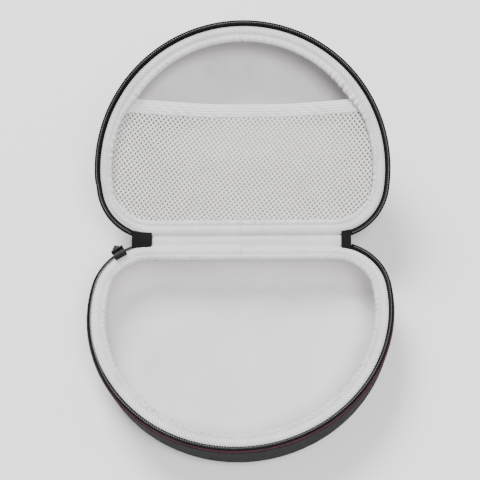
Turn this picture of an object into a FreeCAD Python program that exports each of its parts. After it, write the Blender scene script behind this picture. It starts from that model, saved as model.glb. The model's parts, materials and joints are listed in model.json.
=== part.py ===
import FreeCAD, Part

import math
import os

import Sketcher

# Hard-shell carrying case for folded headphones: two moulded foam bowls joined by a
# cloth hinge, a zipper round the front, and a mesh pocket across the lid.
# Frame: origin on the flat bottom of the base under the centre of the front arc,
# +X to the right, +Y towards the hinge, +Z up. Millimetres. The lid rests open.

doc = FreeCAD.newDocument("headphone_case")

DRIVING_DIMENSIONS = {
    # outline of both halves, seen from above at the rim
    "front_radius": 105.5,
    "hinge_distance": 50.0,
    "corner_radius": 40.0,
    # moulded bowl
    "bowl_depth": 40.0,
    "draft_angle": 5.0,
    "bottom_radius": 22.0,
    "cover_thickness": 0.8,
    "foam_thickness": 4.9,
    "lining_thickness": 0.8,
    # rim
    "half_gap": 4.0,
    "binding_width": 11.5,
    "binding_height": 0.9,
    "binding_skirt": 3.5,
    "piping_radius": 0.7,
    # zipper
    "tape_inset": 1.2,
    "tape_thickness": 0.5,
    "tape_anchor": 3.0,
    "coil_width": 2.4,
    "coil_height": 2.4,
    "mating_clearance": 0.5,
    # hinge cloth and the tabs that close the zipper's ends
    "hinge_clearance": 0.3,
    "zipper_end": 78.0,
    "cloth_thickness": 0.8,
    "inner_cloth_inset": 2.8,
    "outer_cloth_reach": 63.0,
    "inner_cloth_left": 63.6,
    "inner_cloth_right": 70.6,
    "left_tab_width": 13.0,
    "right_tab_width": 6.4,
    "tab_thickness": 3.0,
    # pocket
    "mesh_thickness": 0.8,
    "mesh_drop": 4.4,
    "mesh_clearance": 0.2,
    "mesh_top": 91.0,
    "band_height": 9.0,
    "band_thickness": 1.6,
    # slider and pull
    "slider_angle": 126.0,
    "slider_length": 9.0,
    "slider_height": 6.0,
    "slider_plate": 1.0,
    "slider_bridge": 0.5,
    "slider_clearance": 0.6,
    "outer_plate_height": 4.0,
    "lug_length": 2.8,
    "lug_height": 3.2,
    "pin_reach": 1.5,
    "lug_width": 2.0,
    "lug_bore": 0.9,
    "pin_radius": 0.8,
    "arm_width": 1.3,
    "arm_clearance": 0.2,
    "arm_length": 7.0,
    "pull_thickness": 1.2,
    "pull_length": 5.0,
    "tongue_width": 3.0,
    "tongue_length": 8.0,
    "grip_width": 7.0,
    "grip_thickness": 2.8,
    "grip_length": 18.0,
    # rest pose: the lid leans back this far above level
    "lid_lean": 32.0,
}

sheet = doc.addObject("Spreadsheet::Sheet", "dims")
for row, (alias, value) in enumerate(DRIVING_DIMENSIONS.items(), start=1):
    sheet.set("A%d" % row, alias)
    sheet.set("B%d" % row, str(value))
    sheet.setAlias("B%d" % row, alias)
doc.recompute()


def size(alias):
    """Value of one driving dimension."""
    return float(sheet.get(alias))


def plane_of(body, role):
    """One of the body's own origin planes."""
    return next(item for item in body.Origin.OriginFeatures if item.Role == role)


def new_body(label):
    body = doc.addObject("PartDesign::Body", label)
    body.Label = label
    return body


def new_sketch(body, name, role, offset="0"):
    """Sketch on one of the body's origin planes, moved along the plane's normal."""
    sketch = body.newObject("Sketcher::SketchObject", name)
    sketch.AttachmentSupport = [(plane_of(body, role), "")]
    sketch.MapMode = "FlatFace"
    sketch.setExpression("AttachmentOffset.Base.z", offset)
    return sketch


def value_of(expression):
    """Number that a sheet expression gives at the moment."""
    return float(sheet.evalExpression(str(expression)))


def bind(sketch, constraint, name, expression):
    """Add a dimension to a sketch and tie it to the sheet."""
    index = sketch.addConstraint(constraint)
    sketch.renameConstraint(index, name)
    sketch.setExpression("Constraints." + name, expression)


def draw_outline(sketch, inset, prefix):
    """Rim outline moved inwards: a wide front arc, two corner arcs and a straight back."""
    inset_now = value_of(inset)
    front = size("front_radius") - inset_now
    corner = size("corner_radius") - inset_now
    back = size("hinge_distance") - inset_now
    centre_y = back - corner
    centre_x = math.sqrt((front - corner) ** 2 - centre_y ** 2)
    tangent_angle = math.atan2(centre_y, centre_x)
    up = FreeCAD.Vector(0, 0, 1)
    front_circle = Part.Circle(FreeCAD.Vector(0, 0, 0), up, front)
    right_circle = Part.Circle(FreeCAD.Vector(centre_x, centre_y, 0), up, corner)
    left_circle = Part.Circle(FreeCAD.Vector(-centre_x, centre_y, 0), up, corner)
    pieces = [
        Part.ArcOfCircle(front_circle, math.pi - tangent_angle, 2 * math.pi + tangent_angle),
        Part.ArcOfCircle(right_circle, tangent_angle, math.pi / 2),
        Part.LineSegment(FreeCAD.Vector(centre_x, back, 0), FreeCAD.Vector(-centre_x, back, 0)),
        Part.ArcOfCircle(left_circle, math.pi / 2, math.pi - tangent_angle),
    ]
    arc, right, line, left = [sketch.addGeometry(piece, False) for piece in pieces]
    sketch.addConstraint(Sketcher.Constraint("Coincident", arc, 3, -1, 1))
    for first, second in ((arc, right), (right, line), (line, left), (left, arc)):
        sketch.addConstraint(Sketcher.Constraint("Tangent", first, 2, second, 1))
    sketch.addConstraint(Sketcher.Constraint("Horizontal", line))
    sketch.addConstraint(Sketcher.Constraint("Equal", right, left))
    bind(sketch, Sketcher.Constraint("Radius", arc, front), prefix + "_front",
         "dims.front_radius - (%s)" % inset)
    bind(sketch, Sketcher.Constraint("Radius", right, corner), prefix + "_corner",
         "dims.corner_radius - (%s)" % inset)
    bind(sketch, Sketcher.Constraint("DistanceY", -1, 1, line, 1, back), prefix + "_back",
         "dims.hinge_distance - (%s)" % inset)


def draw_rectangle(sketch, left, right, low, high):
    """Rectangle whose four sides are signed sheet expressions from the sketch's origin."""
    x0, x1, y0, y1 = [value_of(side) for side in (left, right, low, high)]
    corners = [FreeCAD.Vector(x, y, 0) for x, y in ((x0, y0), (x1, y0), (x1, y1), (x0, y1))]
    sides = []
    for start, end in zip(corners, corners[1:] + corners[:1]):
        sides.append(sketch.addGeometry(Part.LineSegment(start, end), False))
    for first, second in zip(sides, sides[1:] + sides[:1]):
        sketch.addConstraint(Sketcher.Constraint("Coincident", first, 2, second, 1))
    for side in (sides[0], sides[2]):
        sketch.addConstraint(Sketcher.Constraint("Horizontal", side))
    for side in (sides[1], sides[3]):
        sketch.addConstraint(Sketcher.Constraint("Vertical", side))
    bind(sketch, Sketcher.Constraint("DistanceX", -1, 1, sides[0], 1, x0), "left", left)
    bind(sketch, Sketcher.Constraint("DistanceX", -1, 1, sides[0], 2, x1), "right", right)
    bind(sketch, Sketcher.Constraint("DistanceY", -1, 1, sides[0], 1, y0), "low", low)
    bind(sketch, Sketcher.Constraint("DistanceY", -1, 1, sides[2], 1, y1), "high", high)


def add_pad(body, sketch, name, length, downwards=False, taper=None):
    pad = body.newObject("PartDesign::Pad", name)
    pad.Profile = sketch
    pad.setExpression("Length", length)
    pad.Reversed = downwards
    if taper:
        pad.setExpression("TaperAngle", taper)
    sketch.Visibility = False
    doc.recompute()
    return pad


def add_pocket(body, sketch, name, length, upwards=False, taper=None):
    """Cut a profile out of the body and make sure that the cut removes something."""
    before = body.Shape.Volume
    pocket = body.newObject("PartDesign::Pocket", name)
    pocket.Profile = sketch
    pocket.setExpression("Length", length)
    pocket.Reversed = upwards
    if taper:
        pocket.setExpression("TaperAngle", taper)
    sketch.Visibility = False
    doc.recompute()
    if body.Shape.Volume > before - 0.01:
        raise RuntimeError(name + " cuts nothing")
    return pocket


def edge_names(feature, edges):
    """Names of a feature's edges, as a fillet wants them."""
    return ["Edge%d" % index for index, edge in enumerate(feature.Shape.Edges, start=1)
            if any(edge.isSame(wanted) for wanted in edges)]


def level_wires(feature, height):
    """Boundaries of the feature's level face at one height, the shortest first."""
    for face in feature.Shape.Faces:
        if abs(face.BoundBox.ZMin - height) < 1e-4 and abs(face.BoundBox.ZMax - height) < 1e-4:
            return sorted(face.Wires, key=lambda wire: wire.Length)
    raise RuntimeError("%s has no level face at %.2f" % (feature.Label, height))


def add_fillet(body, feature, name, edges, radius):
    fillet = body.newObject("PartDesign::Fillet", name)
    fillet.Base = (feature, edge_names(feature, edges))
    fillet.setExpression("Radius", radius)
    doc.recompute()
    return fillet


def half_placement(half):
    """Where a half's own frame goes: its rim lies in the frame's level plane, hinge at +Y."""
    hinge = FreeCAD.Vector(0, size("hinge_distance") + size("hinge_clearance"), size("half_gap"))
    if half == "base":
        return FreeCAD.Placement(FreeCAD.Vector(0, 0, size("bowl_depth")), FreeCAD.Rotation())
    turned = FreeCAD.Rotation(FreeCAD.Vector(0, 0, 1), 180)
    leaned = FreeCAD.Rotation(FreeCAD.Vector(1, 0, 0), size("lid_lean"))
    hinge_in_case = hinge + FreeCAD.Vector(0, 0, size("bowl_depth"))
    rotation = leaned.multiply(turned)
    return FreeCAD.Placement(hinge_in_case - rotation.multVec(hinge), rotation)


COVER_INSIDE = "dims.cover_thickness"
FOAM_INSIDE = COVER_INSIDE + " + dims.foam_thickness"
LINING_INSIDE = FOAM_INSIDE + " + dims.lining_thickness"
TAPE_OUTSIDE = "dims.tape_inset"
TAPE_INSIDE = TAPE_OUTSIDE + " + dims.tape_thickness"
COIL_INSIDE = TAPE_INSIDE + " + dims.coil_width"
BINDING_INSIDE = TAPE_INSIDE + " + dims.binding_width"
MESH_EDGE = LINING_INSIDE + " + dims.mesh_drop * tan(dims.draft_angle) + dims.mesh_clearance"


def make_bowl_blank(name, inset):
    """Solid drafted, round-bottomed block: the bowl filled in, this far inside its outside."""
    body = new_body(name)
    rim = new_sketch(body, name + "_rim", "XY_Plane")
    draw_outline(rim, inset, "rim")
    pad = add_pad(body, rim, name + "_pad", "dims.bowl_depth - (%s)" % inset,
                  downwards=True, taper="-dims.draft_angle")
    bottom = level_wires(pad, value_of(inset) - size("bowl_depth"))[0]
    add_fillet(body, pad, name + "_bottom_round", bottom.Edges, "dims.bottom_radius - (%s)" % inset)
    return body


def make_tape_slot():
    """Ring that is cut out of the foam's rim, where the zipper tape is anchored."""
    body = new_body("tape_slot")
    ring = new_sketch(body, "tape_slot_ring", "XY_Plane")
    draw_outline(ring, TAPE_OUTSIDE, "slot_outside")
    draw_outline(ring, TAPE_INSIDE, "slot_inside")
    add_pad(body, ring, "tape_slot_pad", "dims.tape_anchor", downwards=True)
    return body


def cut_away(label, blank, tool):
    """One piece cut out of another."""
    cut = doc.addObject("Part::Cut", label)
    cut.Label = label
    cut.Base = blank
    cut.Tool = tool
    doc.recompute()
    return cut


# both halves come out of the same mould
COVER_BLANK = make_bowl_blank("cover_blank", "0")
FOAM_BLANK = make_bowl_blank("foam_blank", COVER_INSIDE)
LINING_BLANK = make_bowl_blank("lining_blank", FOAM_INSIDE)
CAVITY_BLANK = make_bowl_blank("cavity_blank", LINING_INSIDE)
SOLID_FOAM = cut_away("solid_foam", FOAM_BLANK, LINING_BLANK)
TAPE_SLOT = make_tape_slot()


def make_cover(half):
    """Woven outer skin of the moulded bowl."""
    return cut_away(half + "_cover", COVER_BLANK, FOAM_BLANK)


def make_foam_shell(half):
    """Stiff moulded foam, with a slot round its rim that takes the zipper tape."""
    return cut_away(half + "_foam_shell", SOLID_FOAM, TAPE_SLOT)


def make_lining(half):
    """Soft light lining of the cavity."""
    return cut_away(half + "_lining", LINING_BLANK, CAVITY_BLANK)


def make_rim_binding(half):
    """Padded edge binding: it covers the top of the wall and hangs inside it as a short skirt."""
    body = new_body(half + "_rim_binding")
    skirt_low = "-dims.binding_skirt"
    ring = new_sketch(body, half + "_binding_ring", "XY_Plane", skirt_low)
    draw_outline(ring, TAPE_INSIDE, "ring_outside")
    draw_outline(ring, BINDING_INSIDE, "ring_inside")
    add_pad(body, ring, half + "_binding_pad", "dims.binding_skirt + dims.binding_height")
    # the wall's own top fits under the binding, with room for the wall's draft
    under = new_sketch(body, half + "_binding_underside", "XY_Plane", skirt_low)
    draw_outline(under, "0", "under_outside")
    draw_outline(under, LINING_INSIDE + " + 0.4", "under_inside")
    pocket = add_pocket(body, under, half + "_binding_rebate", "dims.binding_skirt", upwards=True)
    inner_rim = level_wires(pocket, size("binding_height"))[0]
    add_fillet(body, pocket, half + "_binding_round", inner_rim.Edges, "dims.binding_height * 2")
    return body


def cut_hinge_side(body, name, low, height):
    """Remove a ring's back stretch, between the two ends of the zipper."""
    profile = new_sketch(body, name + "_profile", "XY_Plane", low)
    draw_rectangle(profile, "-dims.zipper_end", "dims.zipper_end", "dims.corner_radius - 15",
                   "dims.hinge_distance + 5")
    add_pocket(body, profile, name, height, upwards=True)


def make_zipper_tape(half):
    """Woven tape that stands up out of the rim and carries the coil."""
    body = new_body(half + "_zipper_tape")
    anchor_low = "-dims.tape_anchor"
    height = "dims.tape_anchor + dims.half_gap - dims.mating_clearance"
    ring = new_sketch(body, half + "_tape_ring", "XY_Plane", anchor_low)
    draw_outline(ring, TAPE_OUTSIDE, "tape_outside")
    draw_outline(ring, TAPE_INSIDE, "tape_inside")
    add_pad(body, ring, half + "_tape_pad", height)
    cut_hinge_side(body, half + "_tape_opening", anchor_low, height)
    return body


def make_zipper_coil(half):
    """Half of the zipper's chain: the space that the sewn nylon coil fills."""
    body = new_body(half + "_zipper_coil")
    coil_low = "dims.half_gap - dims.mating_clearance - dims.coil_height"
    ring = new_sketch(body, half + "_coil_ring", "XY_Plane", coil_low)
    draw_outline(ring, TAPE_INSIDE, "coil_outside")
    draw_outline(ring, COIL_INSIDE, "coil_inside")
    add_pad(body, ring, half + "_coil_pad", "dims.coil_height")
    cut_hinge_side(body, half + "_coil_opening", coil_low, "dims.coil_height")
    return body


def zipper_path(inset, height):
    """Open level path along the outline, from the zipper's left end round the front."""
    front = size("front_radius") - inset
    corner = size("corner_radius") - inset
    centre_y = size("hinge_distance") - size("corner_radius")
    centre_x = math.sqrt((front - corner) ** 2 - centre_y ** 2)
    end_x = size("zipper_end")
    end_angle = math.acos((end_x - centre_x) / corner)
    tangent_angle = math.atan2(centre_y, centre_x)
    up = FreeCAD.Vector(0, 0, 1)
    front_circle = Part.Circle(FreeCAD.Vector(0, 0, height), up, front)
    left_circle = Part.Circle(FreeCAD.Vector(-centre_x, centre_y, height), up, corner)
    right_circle = Part.Circle(FreeCAD.Vector(centre_x, centre_y, height), up, corner)
    return Part.Wire([
        left_circle.toShape(math.pi - end_angle, math.pi - tangent_angle),
        front_circle.toShape(math.pi - tangent_angle, 2 * math.pi + tangent_angle),
        right_circle.toShape(tangent_angle, end_angle),
    ])


def make_piping(half):
    """Thin round piping that lies on the cover's edge, outside the zipper tape."""
    radius = size("piping_radius")
    inset = size("tape_inset") - radius
    path = zipper_path(inset, radius)
    start = path.Edges[0].valueAt(path.Edges[0].FirstParameter)
    direction = path.Edges[0].tangentAt(path.Edges[0].FirstParameter)
    section = Part.Wire(Part.makeCircle(radius, start, direction))
    piping = doc.addObject("Part::Feature", half + "_piping")
    piping.Label = half + "_piping"
    piping.Shape = path.makePipeShell([section], True, False)
    return piping


def make_strip(label, half, left, right, front, back, low, high):
    """Upright strip of cloth: its sides, front and back in plan, then its lower and upper edge."""
    body = new_body(label)
    if half == "lid":
        # the lid's own frame is turned round, so its left is the case's right
        left, right = "-(%s)" % right, "-(%s)" % left
    plan = new_sketch(body, label + "_plan", "XY_Plane", low)
    draw_rectangle(plan, left, right, front, back)
    add_pad(body, plan, label + "_pad", "(%s) - (%s)" % (high, low))
    return body


HINGE_STRIP_TOP = "dims.half_gap - dims.hinge_clearance"
TAB_LEFT_OUTSIDE = "-dims.inner_cloth_left - dims.left_tab_width"
TAB_RIGHT_OUTSIDE = "dims.inner_cloth_right + dims.right_tab_width"


def make_outer_hinge_cloth(half):
    """Black cloth anchored in the foam's slot: half of the hinge, up to the hinge line."""
    reach = "dims.outer_cloth_reach"
    return make_strip(half + "_outer_hinge_cloth", half, "-" + reach, reach,
                      "dims.hinge_distance - (%s)" % TAPE_INSIDE,
                      "dims.hinge_distance - (%s)" % TAPE_OUTSIDE,
                      "-dims.tape_anchor", HINGE_STRIP_TOP)


def make_inner_hinge_cloth(half):
    """Light cloth over the inside of the hinge, between the two end tabs."""
    return make_strip(half + "_inner_hinge_cloth", half,
                      "-dims.inner_cloth_left", "dims.inner_cloth_right",
                      "dims.hinge_distance - dims.inner_cloth_inset - dims.cloth_thickness",
                      "dims.hinge_distance - dims.inner_cloth_inset",
                      "dims.binding_height", HINGE_STRIP_TOP)


def make_end_tab(half, side):
    """Folded black tab sewn over one end of the zipper."""
    sides = {
        "left": (TAB_LEFT_OUTSIDE, "-dims.inner_cloth_left"),
        "right": ("dims.inner_cloth_right", TAB_RIGHT_OUTSIDE),
    }
    left, right = sides[side]
    return make_strip("%s_%s_end_tab" % (half, side), half, left, right,
                      "dims.hinge_distance - (%s) - dims.tab_thickness" % TAPE_INSIDE,
                      "dims.hinge_distance - (%s)" % TAPE_INSIDE,
                      "dims.binding_height", HINGE_STRIP_TOP)


def make_pocket_mesh():
    """Net stretched across the lid just below its rim: straight along the top, sewn in below."""
    body = new_body("pocket_mesh")
    low = "-dims.mesh_drop - dims.mesh_thickness"
    plan = new_sketch(body, "mesh_plan", "XY_Plane", low)
    draw_outline(plan, MESH_EDGE, "mesh")
    pad = add_pad(body, plan, "mesh_pad", "dims.mesh_thickness")
    opening = new_sketch(body, "mesh_opening_plan", "XY_Plane", low)
    draw_rectangle(opening, "-dims.front_radius", "dims.front_radius", "-dims.front_radius",
                   "dims.hinge_distance - dims.mesh_top")
    add_pocket(body, opening, "mesh_opening", "dims.mesh_thickness", upwards=True)
    return body


def make_pocket_band():
    """Ribbed elastic that hems the pocket's mouth from wall to wall."""
    body = new_body("pocket_elastic_band")
    middle = "dims.mesh_drop + dims.mesh_thickness * 0.5"
    low = "-(%s) - dims.band_thickness * 0.5" % middle
    plan = new_sketch(body, "band_plan", "XY_Plane", low)
    draw_outline(plan, MESH_EDGE, "band")
    add_pad(body, plan, "band_pad", "dims.band_thickness")
    band_low = "dims.hinge_distance - dims.mesh_top - dims.band_height"
    for name, near, far in (
        ("front", "-dims.front_radius - 5", band_low),
        ("back", "dims.hinge_distance - dims.mesh_top", "dims.hinge_distance + 5"),
    ):
        side = new_sketch(body, "band_%s_plan" % name, "XY_Plane", low)
        draw_rectangle(side, "-dims.front_radius - 5", "dims.front_radius + 5", near, far)
        add_pocket(body, side, "band_%s_cut" % name, "dims.band_thickness", upwards=True)
    return body


def radial(inset):
    """Distance from the corner arc's centre to something this far inside the outline."""
    return "dims.corner_radius - (%s)" % inset


SLIDER_OUTSIDE = "dims.tape_inset - dims.slider_clearance - dims.slider_plate"
SLIDER_INSIDE = COIL_INSIDE + " + dims.slider_clearance + dims.slider_plate"
PIN_INSET = SLIDER_OUTSIDE + " - dims.pin_reach"
PULL_LOW = "dims.half_gap - dims.arm_length - dims.pull_length"


def add_block(body, name, left, right, near, far, low, high):
    """Block in the slider's frame: X along the zipper, Y outwards from the corner's centre."""
    plan = new_sketch(body, name + "_plan", "XY_Plane", low)
    draw_rectangle(plan, left, right, near, far)
    return add_pad(body, plan, name, "(%s) - (%s)" % (high, low))


def add_cross_circle(body, name, radius):
    """Circle across the zipper, centred on the pull's pin."""
    section = new_sketch(body, name + "_section", "YZ_Plane")
    pin_y = value_of(radial(PIN_INSET))
    pin_z = size("half_gap")
    circle = Part.Circle(FreeCAD.Vector(pin_y, pin_z, 0), FreeCAD.Vector(0, 0, 1), value_of(radius))
    index = section.addGeometry(circle, False)
    bind(section, Sketcher.Constraint("Radius", index, value_of(radius)), "radius", radius)
    bind(section, Sketcher.Constraint("DistanceX", -1, 1, index, 3, pin_y), "pin_y",
         radial(PIN_INSET))
    bind(section, Sketcher.Constraint("DistanceY", -1, 1, index, 3, pin_z), "pin_z",
         "dims.half_gap")
    return section


def make_zipper_slider():
    """Slider: an outer and an inner plate joined by a thin bridge between the two coils."""
    body = new_body("zipper_slider")
    left, right = "-dims.slider_length * 0.5", "dims.slider_length * 0.5"
    outside, inside = radial(SLIDER_OUTSIDE), radial(SLIDER_INSIDE)
    middle = "dims.half_gap %s %s * 0.5"
    add_block(body, "outer_plate", left, right, outside + " - dims.slider_plate", outside,
              middle % ("-", "dims.outer_plate_height"), middle % ("+", "dims.outer_plate_height"))
    add_block(body, "bridge", left, right, inside, outside,
              middle % ("-", "dims.slider_bridge"), middle % ("+", "dims.slider_bridge"))
    add_block(body, "inner_plate", left, right, inside, inside + " + dims.slider_plate",
              middle % ("-", "dims.slider_height"), middle % ("+", "dims.slider_height"))
    add_block(body, "lug", "-dims.lug_width * 0.5", "dims.lug_width * 0.5",
              outside, outside + " + dims.lug_length",
              middle % ("-", "dims.lug_height"), middle % ("+", "dims.lug_height"))
    bore = add_cross_circle(body, "lug_bore", "dims.lug_bore")
    before = body.Shape.Volume
    drilled = body.newObject("PartDesign::Pocket", "lug_bore_cut")
    drilled.Profile = bore
    drilled.Midplane = True
    drilled.setExpression("Length", "dims.lug_width * 2")
    doc.recompute()
    if body.Shape.Volume > before - 0.01:
        raise RuntimeError("the lug is not drilled")
    return body


def make_zipper_pull():
    """Metal pull: two arms and a pin through the slider's lug, then a tongue for the grip."""
    body = new_body("zipper_pull")
    near = radial(PIN_INSET) + " - dims.pull_thickness * 0.5"
    far = radial(PIN_INSET) + " + dims.pull_thickness * 0.5"
    inner_side = "(dims.lug_width * 0.5 + dims.arm_clearance)"
    outer_side = "(dims.lug_width * 0.5 + dims.arm_clearance + dims.arm_width)"
    arm_low = "dims.half_gap - dims.arm_length"
    arm_high = "dims.half_gap + dims.pin_radius"
    pin = add_cross_circle(body, "pull_pin", "dims.pin_radius")
    pad = add_pad(body, pin, "pull_pin_pad", "2 * " + outer_side)
    pad.Midplane = True
    add_block(body, "left_arm", "-" + outer_side, "-" + inner_side, near, far, arm_low, arm_high)
    add_block(body, "right_arm", inner_side, outer_side, near, far, arm_low, arm_high)
    add_block(body, "pull_plate", "-" + outer_side, outer_side, near, far, PULL_LOW, arm_low)
    add_block(body, "tongue", "-dims.tongue_width * 0.5", "dims.tongue_width * 0.5", near, far,
              PULL_LOW + " - dims.tongue_length", PULL_LOW)
    return body


def make_pull_grip():
    """Soft grip moulded round the pull's tongue."""
    body = new_body("pull_grip")
    middle = radial(PIN_INSET)
    add_block(body, "grip", "-dims.grip_width * 0.5", "dims.grip_width * 0.5",
              middle + " - dims.grip_thickness * 0.5", middle + " + dims.grip_thickness * 0.5",
              PULL_LOW + " - dims.grip_length", PULL_LOW)
    corners = [edge for edge in body.Tip.Shape.Edges
               if edge.BoundBox.XLength < 1e-4 and edge.BoundBox.ZLength < 1e-4]
    add_fillet(body, body.Tip, "grip_corners", corners, "dims.grip_width * 0.3")
    mouth = new_sketch(body, "tongue_hole_plan", "XY_Plane", PULL_LOW)
    draw_rectangle(mouth, "-dims.tongue_width * 0.5", "dims.tongue_width * 0.5",
                   middle + " - dims.pull_thickness * 0.5", middle + " + dims.pull_thickness * 0.5")
    add_pocket(body, mouth, "tongue_hole", "dims.tongue_length")
    return body


def slider_placement():
    """The slider's frame: turned about the rear-left corner's centre, at the base's rim."""
    corner_y = size("hinge_distance") - size("corner_radius")
    corner_x = -math.sqrt((size("front_radius") - size("corner_radius")) ** 2 - corner_y ** 2)
    turn = FreeCAD.Rotation(FreeCAD.Vector(0, 0, 1), size("slider_angle") - 90)
    return FreeCAD.Placement(FreeCAD.Vector(corner_x, corner_y, size("bowl_depth")), turn)


def make_half(half):
    """All the pieces that one half of the case is sewn and moulded from."""
    return [
        make_cover(half),
        make_foam_shell(half),
        make_lining(half),
        make_rim_binding(half),
        make_piping(half),
        make_zipper_tape(half),
        make_zipper_coil(half),
        make_outer_hinge_cloth(half),
        make_inner_hinge_cloth(half),
        make_end_tab(half, "left"),
        make_end_tab(half, "right"),
    ]


PIECES = {
    "base": make_half("base"),
    "lid": make_half("lid") + [make_pocket_mesh(), make_pocket_band()],
    "slider": [make_zipper_slider(), make_zipper_pull(), make_pull_grip()],
}
doc.recompute()
for group, pieces in PIECES.items():
    for piece in pieces:
        piece.Placement = slider_placement() if group == "slider" else half_placement(group)
doc.recompute()

for item in doc.Objects:
    if "Invalid" in item.State or "Error" in item.State:
        raise RuntimeError("%s failed: %s" % (item.Label, item.State))

os.makedirs("parts", exist_ok=True)
for pieces in PIECES.values():
    for piece in pieces:
        if piece.Shape.isNull() or not piece.Shape.isValid():
            raise RuntimeError(piece.Label + " has no valid shape")
        piece.Shape.exportStep("parts/%s.step" % piece.Label)
        print("%-26s %9.1f mm3 %d solid(s)"
              % (piece.Label, piece.Shape.Volume, len(piece.Shape.Solids)))
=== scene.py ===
import json
import math

import bpy
import numpy as np
from mathutils import Matrix, Vector, noise


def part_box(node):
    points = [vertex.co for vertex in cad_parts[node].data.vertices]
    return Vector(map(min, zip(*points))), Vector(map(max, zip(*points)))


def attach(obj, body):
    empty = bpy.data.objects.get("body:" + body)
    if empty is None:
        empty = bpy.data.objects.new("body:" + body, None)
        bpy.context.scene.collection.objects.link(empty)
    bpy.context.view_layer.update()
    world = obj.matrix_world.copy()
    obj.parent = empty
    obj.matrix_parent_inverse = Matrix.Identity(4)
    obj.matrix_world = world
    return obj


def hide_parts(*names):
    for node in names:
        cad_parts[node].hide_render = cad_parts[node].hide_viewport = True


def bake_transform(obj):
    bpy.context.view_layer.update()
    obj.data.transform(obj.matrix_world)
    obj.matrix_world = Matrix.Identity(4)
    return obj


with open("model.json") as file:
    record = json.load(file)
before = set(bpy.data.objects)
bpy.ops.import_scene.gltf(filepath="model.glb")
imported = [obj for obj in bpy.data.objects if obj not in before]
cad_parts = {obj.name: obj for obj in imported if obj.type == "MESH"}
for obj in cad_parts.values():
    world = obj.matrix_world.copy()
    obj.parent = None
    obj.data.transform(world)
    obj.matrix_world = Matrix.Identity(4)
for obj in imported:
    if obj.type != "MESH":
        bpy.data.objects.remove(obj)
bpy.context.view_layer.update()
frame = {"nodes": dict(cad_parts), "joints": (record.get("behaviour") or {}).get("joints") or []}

# ---------------------------------------------------------------- sizes, in metres
MM = 0.001
COVER_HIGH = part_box("base_cover")[1]
COIL_LOW, COIL_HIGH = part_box("base_zipper_coil")
JOINTS = {joint["name"]: joint for joint in frame["joints"]}
HINGE = Vector(JOINTS["lid_hinge"]["pos_m"])
LID_LEAN = -math.radians(JOINTS["lid_hinge"]["range_deg"][0])

# the bowls: half a flattened circle in plan, with round corners beside the hinge
FRONT_RADIUS = COVER_HIGH[0]
HINGE_DISTANCE = COVER_HIGH[1]
BOWL_DEPTH = COVER_HIGH[2]
CORNER_RADIUS = 40 * MM
BOTTOM_RADIUS = 22 * MM
DRAFT = math.tan(math.radians(5))
WALL = 6.5 * MM
HALF_GAP = HINGE[2] - BOWL_DEPTH
FLOOR_INSET = 36 * MM
BOWL_MIDDLE_Y = -18 * MM

# the rim: insets are measured inwards from the outline, heights from the rim plane
COIL_TOP = COIL_HIGH[2] - BOWL_DEPTH
COIL_SIZE = COIL_HIGH[2] - COIL_LOW[2]
COIL_INSET = 2.9 * MM
COIL_PITCH = 1.7 * MM
COIL_END_TRIM = 1.2 * MM
BINDING_SEAM = 9.6 * MM
BINDING_STITCH = 3.2 * MM
PRESSED_HEIGHT = 0.75 * MM
ZIPPER_END = 78 * MM
ZIPPER_LEAN = {"base": 0.5 * MM, "lid": 1.2 * MM}
SLIDER_UPRIGHT = 0.65
TUCK_DROP = 1.0 * MM
TUCK_SHIFT = 1.3 * MM
TUCK_RISE = 0.5 * MM

# the pocket: reaches are measured from the hinge edge of the lid
MESH_DROP = 4.6 * MM
MESH_TOP = 91 * MM
BAND_HEIGHT = 9 * MM
POCKET_INSET = 8.6 * MM

# the linings' cloth simulation
LINING_SLACK = 0.008
LINING_SINK = 0.3 * MM
LINING_RISE = 2.4 * MM

HALVES = ("base", "lid")
CORNER_Y = HINGE_DISTANCE - CORNER_RADIUS
CORNER_X = math.sqrt((FRONT_RADIUS - CORNER_RADIUS) ** 2 - CORNER_Y ** 2)
TANGENT_ANGLE = math.atan2(CORNER_Y, CORNER_X)
CORNER_LENGTH = CORNER_RADIUS * (math.pi / 2 - TANGENT_ANGLE)
FRONT_LENGTH = FRONT_RADIUS * (math.pi + 2 * TANGENT_ANGLE)
OUTLINE_LENGTH = 2 * CORNER_X + 2 * CORNER_LENGTH + FRONT_LENGTH


# ---------------------------------------------------------------- geometry helpers
def half_matrix(half):
    """From a half's own frame (rim at z 0, bowl below, hinge at +Y) to the row frame."""
    if half == "base":
        return Matrix.Translation((0, 0, BOWL_DEPTH))
    own_hinge = Vector((0, HINGE[1], HALF_GAP))
    turn = Matrix.Rotation(LID_LEAN, 4, "X") @ Matrix.Rotation(math.pi, 4, "Z")
    return Matrix.Translation(HINGE) @ turn @ Matrix.Translation(-own_hinge)


def side_sign(half):
    """The lid's own frame is turned round, so its +X is the case's -X."""
    return 1.0 if half == "base" else -1.0


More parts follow.
